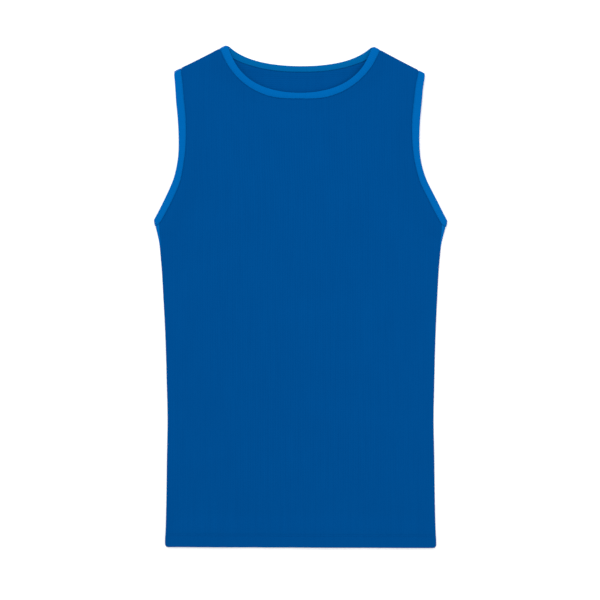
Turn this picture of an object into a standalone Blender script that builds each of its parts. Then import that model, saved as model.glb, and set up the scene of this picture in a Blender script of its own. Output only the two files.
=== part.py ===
"""A sleeveless T-shirt in thin jersey, laid flat and face up, with its neck towards +Y.

Every cut piece is its own closed solid. The front and the back are walls of cloth that turn up at the hem
and roll towards each other along the shoulders and the sides, where they meet in a seam at half height. A
binding wraps the cut edge of the neck and of each armhole, and a small gusset sits at the top of each side
seam. Left and right are the wearer's, so the left side is at +X. All sizes are in metres.

Points of the cloth are first given flat, as (x, y) on the paper pattern. fold_cloth() lays them down as the
middle of the wall, and each piece is then built out from that middle to both sides.
"""

import math

import bpy
import numpy as np

# The cloth and how it is sewn.
WALL = 0.0010
SEAM_GAP = 0.0003
PLY = WALL + SEAM_GAP

# The outline of the shirt. A drop is measured down from the high point of the shoulder, and a half is
# measured out from the middle.
BODY_LENGTH = 0.720
SHOULDER_SLOPE = math.radians(27.33)
SHOULDER_START_HALF = 0.1067
NECK_HALF = 0.1058
FRONT_NECK_DROP = 0.0673
BACK_NECK_DROP = 0.0284
NECK_BAND_WIDTH = 0.0094
ARMHOLE_BAND_WIDTH = 0.0104
UNDERARM_DROP = 0.2490
GUSSET_TIP_DROP = 0.2970
GUSSET_SEAM_SLOPE = 0.16
GUSSET_TIP_WIDTH = 0.00045
HEM_DEPTH = 0.0200

# The outer edge of the armhole's binding, from the shoulder to the underarm.
ARMHOLE_OUTLINE = (  # drop, half
    (0.0380, 0.1796),
    (0.0436, 0.1797),
    (0.0500, 0.1788),
    (0.0600, 0.1777),
    (0.0770, 0.1764),
    (0.1060, 0.1737),
    (0.1350, 0.1727),
    (0.1500, 0.1731),
    (0.1640, 0.1746),
    (0.1780, 0.1775),
    (0.1920, 0.1818),
    (0.2060, 0.1881),
    (0.2210, 0.1955),
    (0.2350, 0.2025),
    (0.2474, 0.2090),
)

# The side of the shirt, from the underarm to the hem.
SIDE_OUTLINE = (  # drop, half
    (0.2440, 0.2113),
    (0.2510, 0.2095),
    (0.2610, 0.2077),
    (0.2700, 0.2056),
    (0.2790, 0.2035),
    (0.3070, 0.2002),
    (0.3640, 0.1966),
    (0.4220, 0.1939),
    (0.4790, 0.1923),
    (0.5370, 0.1911),
    (0.5940, 0.1921),
    (0.6520, 0.1930),
    (0.7000, 0.1952),
    (0.7200, 0.1949),
)

# How far the neck's curve runs before it turns, at the shoulder and at the middle.
NECK_CURVE = {  # handle at the shoulder, handle at the middle
    "front": (0.006, 0.0850),
    "back": (0.003, 0.0670),
}

# How high the middle of the front's wall is lifted above where it would lie on the back, for each thing
# under it, how far from the edge it stays at that height, and over what length it sinks back.
FRONT_LIFTS = {  # lift, full to, sinks over
    "armhole": (0.0044, 0.0118, 0.032),
    "front neck": (0.0013, 0.0106, 0.020),
    "back neck": (0.0031, 0.0108, 0.038),
    "side": (0.0020, 0.0050, 0.026),
    "shoulder": (0.0020, 0.0050, 0.026),
    "hem": (0.0031, 0.0225, 0.026),
}
LIFT_BLEND = 4  # a higher power keeps two lifts that meet closer to the larger one
BACK_LIFT_MARGIN = 0.0005
BACK_LIFT_SINKS_OVER = 0.010

# The pattern's grid of points.
ROLL_STEPS = 3
ROLL_WIDTH = 0.0033
SHOULDER_COLUMNS = (0.0, 0.06, 0.12, 0.25, 0.50, 0.76, 0.89, 1.0)  # share of the shoulder's length
SIDE_COLUMNS = (0.038, 0.10, 0.22, 0.42)  # share of the half width, inside the roll
NECK_COLUMNS = (0.03, 0.08, 0.16, 0.28, 0.44, 0.62, 0.81, 1.0)  # share of the neck's curve, past the roll
BODY_ROW_DROPS = (0.684, 0.668, 0.600, 0.520, 0.440, 0.370, 0.325, 0.304)
GUSSET_ROWS = 4
ARMHOLE_ROWS = (0.07, 0.15, 0.24, 0.34, 0.45, 0.56, 0.67, 0.76, 0.84, 0.90, 0.94, 0.97, 1.0)  # share
GUSSET_COLUMNS = (0.0, 0.09, 0.18, 0.28, 0.44, 0.68, 1.0)  # share of the way from the fold to the seam
HEM_TURN_STEPS = 3

# Materials, as sRGB values of the photographed cloth.
BODY_BLUE = "004d91"
BINDING_BLUE = "0364b5"
CLOTH_ROUGHNESS = 0.85

TOP = BODY_LENGTH / 2
BINDING_OUT = 1.5 * WALL + SEAM_GAP  # from the middle of the panel's wall to the outside of the binding
BINDING_IN = 0.5 * WALL + SEAM_GAP
SHOULDER_OUT = np.array((math.sin(SHOULDER_SLOPE), math.cos(SHOULDER_SLOPE)))
SHOULDER_ALONG = np.array((math.cos(SHOULDER_SLOPE), -math.sin(SHOULDER_SLOPE)))
SHOULDER_START = np.array((SHOULDER_START_HALF, TOP - BINDING_OUT + WALL / 2))
MIRROR = np.array((-1.0, 1.0))


# ---- Curves ------------------------------------------------------------------------------------


def through_rows(rows, drop):
    """The half at these drops, on a smooth curve through the rows, which runs on straight past its ends."""
    drops, halves = np.array(rows).T
    slopes = np.gradient(halves, drops)
    inside = np.clip(drop, drops[0], drops[-1])
    i = np.clip(np.searchsorted(drops, inside) - 1, 0, len(drops) - 2)
    step = drops[i + 1] - drops[i]
    t = (inside - drops[i]) / step
    half = (
        (2 * t**3 - 3 * t**2 + 1) * halves[i]
        + (t**3 - 2 * t**2 + t) * step * slopes[i]
        + (3 * t**2 - 2 * t**3) * halves[i + 1]
        + (t**3 - t**2) * step * slopes[i + 1]
    )
    end_slope = np.where(drop < drops[0], slopes[0], slopes[-1])
    return half + end_slope * (drop - inside)


def bezier(start, start_handle, end_handle, end, count=60):
    t = np.linspace(0, 1, count)[:, None]
    return (
        (1 - t) ** 3 * start
        + 3 * (1 - t) ** 2 * t * start_handle
        + 3 * (1 - t) * t**2 * end_handle
        + t**3 * end
    )


def lengths_along(line):
    return np.concatenate([[0], np.cumsum(np.linalg.norm(np.diff(line, axis=0), axis=1))])


def point_at(line, length):
    along = lengths_along(line)
    return np.stack([np.interp(length, along, line[:, k]) for k in (0, 1)], axis=-1)


def unit(vectors):
    return vectors / np.linalg.norm(vectors, axis=-1, keepdims=True)


def distance_to(line, points):
    """From each point to the nearest place on a line of points."""
    start, step = line[:-1], np.diff(line, axis=0)
    away = points[:, None] - start[None]
    t = np.clip((away * step).sum(2) / (step * step).sum(1), 0, 1)
    return np.linalg.norm(away - t[..., None] * step, axis=2).min(1)


def fade(distance, full_to, sinks_over):
    """1 up to full_to, then a soft fall to 0."""
    t = np.clip((distance - full_to) / sinks_over, 0, 1)
    return 1 - t * t * (3 - 2 * t)


# ---- The outline, for the side at +X -----------------------------------------------------------


def side_half(y):
    """Half the shirt's width at this y, outside its cloth."""
    return through_rows(SIDE_OUTLINE, TOP - y)


def beyond_tangent(radius):
    """How far the flat pattern runs past the line where the roll begins, up to the middle of the fold."""
    return math.pi / 2 * radius + SEAM_GAP / 2


def fold_middle(radius):
    """How far the middle of the fold lies past the silhouette, on the flat pattern."""
    return beyond_tangent(radius) - radius - WALL / 2


def shoulder_point(half, radius):
    """Two points of the flat pattern: the middle of the shoulder's fold, and where its roll begins."""
    along = (half - SHOULDER_START[0]) / SHOULDER_ALONG[0]
    tangent = SHOULDER_START + along * SHOULDER_ALONG - (radius + WALL / 2) * SHOULDER_OUT
    return tangent + beyond_tangent(radius) * SHOULDER_OUT, tangent


def over_shoulder(points):
    """How far each point lies past the shoulder's silhouette, outside its cloth."""
    return (points - SHOULDER_START) @ SHOULDER_OUT


def neck_line(which):
    """The panel's cut edge from the middle of the shoulder's fold to the middle of the neck."""
    drop = {"front": FRONT_NECK_DROP, "back": BACK_NECK_DROP}[which] + PLY
    shoulder_handle, middle_handle = NECK_CURVE[which]
    fold, tangent = shoulder_point(NECK_HALF, STACK_RADIUS)
    middle = np.array((0.0, TOP - drop))
    curve = bezier(
        tangent,
        tangent - shoulder_handle * SHOULDER_OUT,
        middle + np.array((middle_handle, 0.0)),
        middle,
    )
    return np.concatenate([[fold], curve])


def round_the_fold(line, past, out):
    """Carries a line that looks right from above round a fold, up to the fold's middle.

    past is how far each of its points lies past the place where the roll begins.
    """
    angle = np.linspace(0, math.pi / 2, 16)
    across = STACK_RADIUS * np.sin(angle)
    rolled = np.stack([np.interp(across, past, line[:, k]) for k in (0, 1)], axis=1)
    rolled += (STACK_RADIUS * angle - across)[:, None] * out
    return np.concatenate([line[past < 0], rolled, rolled[-1:] + SEAM_GAP / 2 * out])


def armhole_line():
    """The panels' cut edge from the middle of the shoulder's fold to the middle of the side's fold."""
    drops = np.linspace(ARMHOLE_OUTLINE[0][0] - 0.010, ARMHOLE_OUTLINE[-1][0] + 0.014, 110)
    outline = np.stack([through_rows(ARMHOLE_OUTLINE, drops), TOP - drops], axis=1)
    direction = unit(np.gradient(outline, axis=0))
    edge = outline + PLY * np.stack([direction[:, 1], -direction[:, 0]], axis=1)
    up, down = edge[54::-1], edge[55:]
    roll_begins = WALL / 2 + STACK_RADIUS
    top = round_the_fold(up, over_shoulder(up) + roll_begins, SHOULDER_OUT)
    over_side = down[:, 0] - side_half(down[:, 1])
    bottom = round_the_fold(down, over_side + roll_begins, np.array((1.0, 0.0)))
    return np.concatenate([top[::-1], bottom])


STACK_RADIUS = (FRONT_LIFTS["armhole"][0] - SEAM_GAP) / 2
NECK_LINES = {"front": neck_line("front"), "back": neck_line("back")}
ARMHOLE_LINE = armhole_line()
HEM_FOLD_Y = TOP - BODY_LENGTH + WALL / 2 + PLY / 2  # the middle of the turn at the hem's bottom edge


# ---- How the cloth lies ------------------------------------------------------------------------


def back_height(points):
    """Height of the middle of the back's wall, which the bindings lift along its bound edges."""
    neck = distance_to(NECK_LINES["back"], points)
    armhole = distance_to(ARMHOLE_LINE, points)
    near = np.maximum(
        fade(neck, NECK_BAND_WIDTH + BACK_LIFT_MARGIN, BACK_LIFT_SINKS_OVER),
        fade(armhole, ARMHOLE_BAND_WIDTH + BACK_LIFT_MARGIN, BACK_LIFT_SINKS_OVER),
    )
    return WALL / 2 + PLY * near


def front_height(points):
    """Height of the middle of the front's wall, which lies on the back and is lifted along its edges."""
    x, y = points.T
    distances = {
        "armhole": distance_to(ARMHOLE_LINE, points),
        "front neck": distance_to(NECK_LINES["front"], points),
        "back neck": distance_to(NECK_LINES["back"], points),
        "side": np.abs(side_half(y) - x) + np.maximum(0, y - (TOP - UNDERARM_DROP)),
        "shoulder": np.abs(over_shoulder(points)),
        "hem": y - (TOP - BODY_LENGTH),
    }
    lifts = {
        name: lift * fade(distances[name], full_to, sinks_over)
        for name, (lift, full_to, sinks_over) in FRONT_LIFTS.items()
    }
    lifts["neck"] = lifts.pop("front neck") + lifts.pop("back neck")
    total = sum(lift**LIFT_BLEND for lift in lifts.values()) ** (1 / LIFT_BLEND)
    return WALL / 2 + PLY + total


def roll(points, over, out, heights):
    """Rolls what lies past a fold's tangent line down, or up, to half height.

    over is how far each point lies past the silhouette on the flat pattern, and out is the way there.
    """
    radius = np.full(len(points), STACK_RADIUS)
    for _ in range(4):
        tangent = points - np.maximum(0, over + WALL / 2 + radius)[:, None] * out
        radius = (front_height(tangent) - back_height(tangent) - SEAM_GAP) / 2
    past = np.maximum(0, over + WALL / 2 + radius)
    angle = np.minimum(past / radius, math.pi / 2)
    straight = np.maximum(0, past - math.pi / 2 * radius)
    height, towards = (
        (front_height(tangent), -1) if heights == "front" else (back_height(tangent), 1)
    )
    flat = tangent + (radius * np.sin(angle))[:, None] * out
    return np.column_stack([flat, height + towards * (radius * (1 - np.cos(angle)) + straight)])


def fold_cloth(which, pattern):
    """Places points of the flat pattern on the middle of the wall of the front or the back."""
    pattern = np.asarray(pattern, float)
    shape = pattern.shape[:-1]
    points = pattern.reshape(-1, 2).copy()
    mirrored = np.where(points[:, 0] < 0, -1.0, 1.0)
    points[:, 0] = np.abs(points[:, 0])
    height = front_height(points) if which == "front" else back_height(points)
    placed = np.column_stack([points, height])
    over_side = points[:, 0] - side_half(points[:, 1])
    for over, out in ((over_side, np.array((1.0, 0.0))), (over_shoulder(points), SHOULDER_OUT)):
        near = over > -3 * STACK_RADIUS
        if near.any():
            placed[near] = roll(points[near], over[near], out, which)
    placed[:, 0] *= mirrored
    return placed.reshape(*shape, 3)


def outward(which, pattern):
    """The way out of the shirt at each point: up on the front, down on the back."""
    pattern = np.asarray(pattern, float)
    step = 2e-5
    steps = (np.array((step, 0.0)), np.array((0.0, step)))
    across, along = (
        fold_cloth(which, pattern + move) - fold_cloth(which, pattern - move) for move in steps
    )
    normal = unit(np.cross(across, along))
    return normal if which == "front" else -normal


def seam_radius(tangent_points):
    return (front_height(tangent_points) - back_height(tangent_points) - SEAM_GAP) / 2


def side_fold_x(y):
    """x of the fold's middle on the flat pattern, at each y down the side."""
    y = np.atleast_1d(y)
    half = side_half(y)
    radius = np.full(len(y), STACK_RADIUS)
    for _ in range(4):
        radius = seam_radius(np.column_stack([half - WALL / 2 - radius, y]))
    return half + (math.pi / 2 - 1) * radius - WALL / 2 + SEAM_GAP / 2


def shoulder_fold(start, end, shares):
    """Points along the shoulder's seam on the flat pattern, half a seam's gap short of the fold's middle."""
    line = start + np.asarray(shares)[:, None] * (end - start)
    base = line - over_shoulder(line)[:, None] * SHOULDER_OUT
    radius = np.full(len(base), STACK_RADIUS)
    for _ in range(4):
        radius = seam_radius(base - (WALL / 2 + radius)[:, None] * SHOULDER_OUT)
    return base + ((math.pi / 2 - 1) * radius - WALL / 2)[:, None] * SHOULDER_OUT


# ---- Grids of the pattern ----------------------------------------------------------------------


def gusset_seam(y):
    """How far the gusset's seam lies from the fold's middle at each y: nothing below its tip."""
    above_tip = y - (TOP - GUSSET_TIP_DROP)
    return np.where(above_tip < -1e-6, 0.0, GUSSET_TIP_WIDTH + GUSSET_SEAM_SLOPE * above_tip)


def armhole_meets_gusset(extra):
    """Length along the armhole line where it crosses the gusset's seam, moved in by extra."""
    along = lengths_along(ARMHOLE_LINE)
    lower = ARMHOLE_LINE[:, 1] < TOP - 0.19
    x, y = ARMHOLE_LINE[lower].T
    inside = side_fold_x(y) - x - gusset_seam(y) - extra
    return np.interp(0, -inside, along[lower])


def neck_stations(which):
    """Points of the neck's edge from the shoulder's seam to the middle: the roll first, then the curve."""
    line = NECK_LINES[which]
    rolled = beyond_tangent(STACK_RADIUS)
    total = lengths_along(line)[-1]
    roll_part = np.linspace(SEAM_GAP / 2, rolled, ROLL_STEPS + 1)
    curve_part = rolled + np.array(NECK_COLUMNS) * (total - rolled)
    return point_at(line, np.concatenate([roll_part, curve_part]))


def armhole_stations():
    """Points of the panel's armhole edge, from the gusset's seam up to the shoulder's seam."""
    rolled = beyond_tangent(STACK_RADIUS)
    bottom = armhole_meets_gusset(SEAM_GAP / 2)
    curve_part = bottom + np.array((0.0,) + ARMHOLE_ROWS) * (rolled - bottom)
    roll_part = np.linspace(rolled, SEAM_GAP / 2, ROLL_STEPS + 1)[1:]
    return point_at(ARMHOLE_LINE, np.concatenate([curve_part, roll_part]))


def edge_rows():
    """The panel's outer edge on the flat pattern, from the hem's turn up to the shoulder's seam."""
    first = HEM_FOLD_Y
    drops = [HEM_DEPTH / 2, HEM_DEPTH]
    body = [first] + [TOP - BODY_LENGTH + d for d in drops] + [TOP - drop for drop in BODY_ROW_DROPS]
    top = armhole_stations()
    tip_y = TOP - GUSSET_TIP_DROP
    side_y = np.array(body + list(np.linspace(tip_y, top[0, 1], GUSSET_ROWS + 1)[:-1]))
    inside = gusset_seam(side_y) + SEAM_GAP / 2
    side = np.column_stack([side_fold_x(side_y) - inside, side_y])
    return np.concatenate([side, top]), len(side)


def panel_pattern(which):
    """The panel's grid on the flat pattern, half of it: rows from the hem up, columns from its edge in."""
    edge, first_armhole_row = edge_rows()
    neck = neck_stations(which)
    shoulder = shoulder_fold(edge[-1], neck[0], SHOULDER_COLUMNS)
    shoulder[0] = edge[-1]
    shoulder[-1] = neck[0]
    top = np.concatenate([shoulder, neck[1:]])

    rolled = np.linspace(0, ROLL_WIDTH, ROLL_STEPS + 1)
    under_neck = np.linspace(SIDE_COLUMNS[-1], 1, len(neck))[1:]
    shares = np.concatenate([SIDE_COLUMNS, under_neck])

    keep_at_neck = np.clip((top[:, 0] - neck[0, 0]) / (top[0, 0] - neck[0, 0]), 0, 1)
    start_y, full_y = edge[first_armhole_row, 1], edge[-1, 1] - 0.014
    grid = []
    for x, y in edge:
        t = np.clip((y - start_y) / (full_y - start_y), 0, 1)
        blend = t * t * (3 - 2 * t)
        inner = np.concatenate([rolled, ROLL_WIDTH + (x - ROLL_WIDTH) * shares])
        side_x = x - inner
        top_x = top[:, 0] + (x - top[0, 0]) * keep_at_neck
        row_x = (1 - blend) * side_x + blend * top_x
        row_y = y + blend * (top[:, 1] - top[0, 1])
        grid.append(np.column_stack([row_x, row_y]))
    return np.array(grid)


# ---- Solids ------------------------------------------------------------------------------------


def make_object(name, points, quads, material):
    """A mesh object whose faces point out. Each quad is cut along its shorter diagonal."""
    points = np.asarray(points, float)
    a, b, c, d = np.array(quads).T
    short_ac = np.linalg.norm(points[a] - points[c], axis=1) <= np.linalg.norm(points[b] - points[d], axis=1)
    first = np.where(short_ac, (a, b, c), (a, b, d)).T
    second = np.where(short_ac, (a, c, d), (b, c, d)).T
    triangles = np.concatenate([first, second])
    if np.linalg.det(points[triangles]).sum() < 0:
        triangles = triangles[:, ::-1]
    mesh = bpy.data.meshes.new(name)
    mesh.from_pydata(points.tolist(), [], triangles.tolist())
    mesh.materials.append(material)
    mesh.shade_smooth()
    mesh.set_sharp_from_angle(angle=math.radians(50))
    obj = bpy.data.objects.new(name, mesh)
    bpy.context.scene.collection.objects.link(obj)
    return obj


def wall(name, middle, out, material):
    """A cloth wall built out to both sides of a grid of points."""
    rows, columns = middle.shape[:2]
    points = np.concatenate([(middle + side * WALL / 2 * out).reshape(-1, 3) for side in (1, -1)])
    index = np.arange(rows * columns).reshape(rows, columns)
    inner = rows * columns
    quads = []
    for i in range(rows - 1):
        for j in range(columns - 1):
            a, b, c, d = index[i, j], index[i, j + 1], index[i + 1, j + 1], index[i + 1, j]
            quads.append((a, b, c, d))
            quads.append((d + inner, c + inner, b + inner, a + inner))
    rim = np.concatenate([index[0, :-1], index[:-1, -1], index[-1, :0:-1], index[:0:-1, 0]])
    quads += [(b, a, a + inner, b + inner) for a, b in zip(rim, np.roll(rim, -1))]
    return make_object(name, points, quads, material)


def add_hem(middle, out):
    """Puts the turned-up hem below the first row: up the inside, then round the bottom edge."""
    edge, edge_out = middle[0], out[0]
    down = np.zeros_like(edge)
    down[:, 1] = -1.0
    rows, outs = [], []
    for row in (2, 1):  # the rows that lie HEM_DEPTH and half of it above the bottom edge
        rows.append(middle[row] - PLY * out[row])
        outs.append(-out[row])
    for step in range(HEM_TURN_STEPS + 1):
        angle = math.pi * (1 - step / HEM_TURN_STEPS)
        turn = math.cos(angle) * edge_out + math.sin(angle) * down
        rows.append(edge - PLY / 2 * edge_out + PLY / 2 * turn)
        outs.append(turn)
    return (
        np.concatenate([np.array(rows), middle[1:]]),
        np.concatenate([np.array(outs), out[1:]]),
    )


def make_panel(name, which, material):
    half = panel_pattern(which)
    other_half = half[:, -2::-1] * MIRROR
    pattern = np.concatenate([half, other_half], axis=1)
    middle, out = add_hem(fold_cloth(which, pattern), outward(which, pattern))
    return wall(name, middle, out, material)


def gusset_pattern():
    """The gusset's half on the flat pattern of one side: rows from its tip up, columns from the fold."""
    along = lengths_along(ARMHOLE_LINE)
    last = armhole_meets_gusset(-SEAM_GAP / 2)
    line = point_at(ARMHOLE_LINE, np.linspace(last, along[-1], 200))
    share = (side_fold_x(line[:, 1]) - line[:, 0]) / (gusset_seam(line[:, 1]) - SEAM_GAP / 2)
    lengths = np.interp(GUSSET_COLUMNS, share[::-1], np.linspace(last, along[-1], 200)[::-1])
    top = point_at(ARMHOLE_LINE, lengths)
    tip_y = TOP - GUSSET_TIP_DROP
    grid = []
    for step in range(GUSSET_ROWS + 1):
        y = tip_y + (top[:, 1] - tip_y) * step / GUSSET_ROWS
        width = gusset_seam(y) - SEAM_GAP / 2
        grid.append(np.column_stack([side_fold_x(y) - np.array(GUSSET_COLUMNS) * width, y]))
    grid[-1] = top
    return np.array(grid)


def mirror_sides(points, side):
    return points * np.array((side, 1.0, 1.0))


def make_gusset(name, side, material):
    half = gusset_pattern()
    front_mid, front_out = fold_cloth("front", half), outward("front", half)
    back_mid, back_out = fold_cloth("back", half), outward("back", half)
    middle = np.concatenate([front_mid[:, ::-1], back_mid[:, 1:]], axis=1)
    out = np.concatenate([front_out[:, ::-1], back_out[:, 1:]], axis=1)
    return wall(name, mirror_sides(middle, side), mirror_sides(out, side), material)


def binding_section(width, limb_steps):
    """The wrap's section: (inwards from the panel's edge, out from the middle of its wall)."""
    end = width - PLY
    limb = np.linspace(end, 0, limb_steps + 1)
    outer = [(q, BINDING_OUT) for q in limb]
    outer += [(-0.7 * PLY, 0.8 * BINDING_OUT), (-PLY, 0.4 * BINDING_OUT)]
    inner = [(-SEAM_GAP, BINDING_IN)] + [(q, BINDING_IN) for q in limb[-2::-1]]
    lower = [(q, -height) for q, height in reversed(outer)]
    lower_inner = [(q, -height) for q, height in reversed(inner)]
    return outer + lower + lower_inner + inner


def make_binding(name, stations, width, limb_steps, side, material):
    """A ring that wraps a cut edge. A station is (front or back, point of the edge, way into the cloth)."""
    section = binding_section(width, limb_steps)
    rings = []
    for which, edge, inwards in stations:
        pattern = np.array([edge + q * inwards for q, _ in section])
        middle, out = fold_cloth(which, pattern), outward(which, pattern)
        heights = np.array([h for _, h in section])[:, None]
        rings.append(mirror_sides(middle + heights * out, side))
    count, around = len(rings), len(section)
    points = np.concatenate(rings)
    quads = []
    for i in range(count):
        for j in range(around):
            a, b = i * around + j, i * around + (j + 1) % around
            c, d = ((i + 1) % count) * around + (j + 1) % around, ((i + 1) % count) * around + j
            quads.append((a, b, c, d))
    return make_object(name, points, quads, material)


def into_cloth(line, sign):
    """The way into the cloth at each point of an edge line: square to it, on the side that sign gives."""
    direction = unit(np.gradient(line, axis=0))
    return sign * np.stack([direction[:, 1], -direction[:, 0]], axis=1)


def neck_ring():
    """Stations once round the neck: over the front from left to right, then back across the back."""
    ring = []
    for which in ("front", "back"):
        line = neck_stations(which)
        line[0] = NECK_LINES[which][0]
        inwards = into_cloth(line, -1.0)
        inwards[: ROLL_STEPS + 1] = SHOULDER_ALONG
        inwards[-1] = (0.0, -1.0)
        half = list(zip(line, inwards))
        other_half = [(point * MIRROR, way * MIRROR) for point, way in half[-2::-1]]
        # The front's line already has the two stations in the middle of the shoulders' folds.
        whole = half + other_half if which == "front" else (half + other_half)[-2:0:-1]
        ring += [(which, point, way) for point, way in whole]
    return ring


def armhole_ring():
    """Stations once round an armhole: down the front to the underarm, then up the back."""
    panel_part = armhole_stations()[::-1]
    panel_part[0] = ARMHOLE_LINE[0]
    gusset_part = gusset_pattern()[-1][::-1]
    line = np.concatenate([panel_part, gusset_part[1:]])
    inwards = into_cloth(line, 1.0)
    inwards[: ROLL_STEPS + 1] = -SHOULDER_ALONG
    end_y = line[-1, 1]
    side_way = unit(np.array((side_half(end_y - 0.008) - side_half(end_y), -0.008)))
    from_fold = np.linalg.norm(line - line[-1], axis=1)
    weight = fade(from_fold, 0.0055, 0.012)[:, None]
    inwards = unit((1 - weight) * inwards + weight * side_way)
    down = list(zip(line, inwards))
    front = [("front", point, way) for point, way in down]
    back = [("back", point, way) for point, way in down[-2:0:-1]]
    return front + back


# ---- The shirt ---------------------------------------------------------------------------------


def linear(hex_colour):
    values = [int(hex_colour[k : k + 2], 16) / 255 for k in (0, 2, 4)]
    return [v / 12.92 if v <= 0.04045 else ((v + 0.055) / 1.055) ** 2.4 for v in values] + [1.0]


def cloth_material(name, hex_colour):
    material = bpy.data.materials.new(name)
    material.use_nodes = True
    shader = material.node_tree.nodes["Principled BSDF"]
    shader.inputs["Base Color"].default_value = linear(hex_colour)
    shader.inputs["Roughness"].default_value = CLOTH_ROUGHNESS
    shader.inputs["Metallic"].default_value = 0.0
    material.diffuse_color = linear(hex_colour)
    return material


def main():
    for obj in list(bpy.data.objects):
        bpy.data.objects.remove(obj, do_unlink=True)
    body = cloth_material("body_jersey", BODY_BLUE)
    binding = cloth_material("binding_jersey", BINDING_BLUE)

    make_panel("front_panel", "front", body)
    make_panel("back_panel", "back", body)
    make_binding("neck_binding", neck_ring(), NECK_BAND_WIDTH, 2, 1.0, binding)
    for side_name, side in (("left", 1.0), ("right", -1.0)):
        ring_name = f"armhole_binding_{side_name}"
        make_binding(ring_name, armhole_ring(), ARMHOLE_BAND_WIDTH, 1, side, binding)
        make_gusset(f"underarm_gusset_{side_name}", side, binding)


main()
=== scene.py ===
"""The looks of a sleeveless T-shirt in thin cotton jersey, laid flat and face up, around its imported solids.

Every cut piece of the solid model is replaced by a thin shell of cloth on the same form, with rounded
edges, stitching that pulls the cloth in, and a few soft ridges. Points of the cloth are first given flat, as
(x, y) on the paper pattern, and fold_cloth() lays them down as the middle of the cloth. Left and right are
the wearer's, so the left side is at +X. All sizes are in metres.
"""

import math

import bpy
import numpy as np
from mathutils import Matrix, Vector


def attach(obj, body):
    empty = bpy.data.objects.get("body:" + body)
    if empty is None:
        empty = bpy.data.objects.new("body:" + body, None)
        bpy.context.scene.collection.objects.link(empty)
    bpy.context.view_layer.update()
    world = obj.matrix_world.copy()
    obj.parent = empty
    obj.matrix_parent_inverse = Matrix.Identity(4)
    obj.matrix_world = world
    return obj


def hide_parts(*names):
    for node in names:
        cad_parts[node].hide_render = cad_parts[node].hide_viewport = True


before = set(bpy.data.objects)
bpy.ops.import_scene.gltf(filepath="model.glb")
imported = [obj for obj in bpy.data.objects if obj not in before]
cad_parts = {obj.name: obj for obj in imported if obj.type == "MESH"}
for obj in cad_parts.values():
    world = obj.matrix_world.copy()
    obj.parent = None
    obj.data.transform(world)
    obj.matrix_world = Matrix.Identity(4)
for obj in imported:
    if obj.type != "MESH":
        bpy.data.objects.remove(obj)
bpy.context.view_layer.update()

# The cloth and how it is sewn. The solids' walls are 1 mm thick, and the real jersey is thinner.
CLOTH = 0.0008
PLY_GAP = 0.0003
PLY = CLOTH + PLY_GAP
SEAM_EDGE = CLOTH / 2  # a piece's last row lies this far from its seam, and its rounded edge closes the rest

# The outline of the shirt, close to that of the solids. A drop is measured down from the high point of the
# shoulder, and a half is measured out from the middle.
BODY_LENGTH = 0.720
SHOULDER_SLOPE = math.radians(27.33)
SHOULDER_START_HALF = 0.1067
SHOULDER_RISE = 0.0011  # between the bindings, the fold stands higher by what the bindings add to it
SHOULDER_RISES_OVER = 0.0032
NECK_HALF = 0.1058
SHOULDER_TIP_HALF = 0.1793
FRONT_NECK_DROP = 0.0667
BACK_NECK_DROP = 0.0282
NECK_BAND_WIDTH = 0.0094
ARMHOLE_BAND_WIDTH = 0.0104
UNDERARM_DROP = 0.2490
GUSSET_TIP_DROP = 0.2970
GUSSET_SEAM_SLOPE = 0.16
GUSSET_TIP_WIDTH = 0.00045
HEM_DEPTH = 0.0200
HEM_CORNER_RADIUS = 0.0048

# The outer edge of the armhole's binding, from the shoulder to the underarm.
ARMHOLE_OUTLINE = (  # drop, half
    (0.0380, 0.1796),
    (0.0436, 0.1797),
    (0.0500, 0.1788),
    (0.0600, 0.1777),
    (0.0770, 0.1764),
    (0.1060, 0.1737),
    (0.1350, 0.1727),
    (0.1500, 0.1731),
    (0.1640, 0.1746),
    (0.1780, 0.1775),
    (0.1920, 0.1818),
    (0.2060, 0.1881),
    (0.2210, 0.1955),
    (0.2350, 0.2025),
    (0.2474, 0.2090),
)
ARMHOLE_RUNS_ON = (0.010, 0.014)  # past its first and last row, so that it crosses the shoulder and the side
ARMHOLE_POINTS = 110
GUSSET_CROSSES_BELOW = 0.19  # the armhole meets the gusset's seam somewhere past this drop

# The side of the shirt, from the underarm to the hem.
SIDE_OUTLINE = (  # drop, half
    (0.2440, 0.2113),
    (0.2510, 0.2095),
    (0.2610, 0.2077),
    (0.2700, 0.2056),
    (0.2790, 0.2035),
    (0.3070, 0.2002),
    (0.3640, 0.1966),
    (0.4220, 0.1939),
    (0.4790, 0.1923),
    (0.5370, 0.1911),
    (0.5940, 0.1921),
    (0.6520, 0.1929),
    (0.6700, 0.1933),
    (0.6890, 0.1938),
    (0.7000, 0.1942),
    (0.7080, 0.1947),
    (0.7200, 0.1949),
)

# How the neck's curve leaves the shoulder and reaches the middle. It is cut a little out of its corner at the
# shoulder's fold, so the corner looks rounded from above, and the back's curve leaves it at a slant.
NECK_CORNER_CUT = 0.0013
NECK_CURVE = {  # handle at the shoulder, handle at the middle, slide and turn at the shoulder
    "front": (0.0126, 0.0872, 0.0, 0.0),
    "back": (0.0205, 0.0589, 0.0021, 0.35),
}

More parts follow.
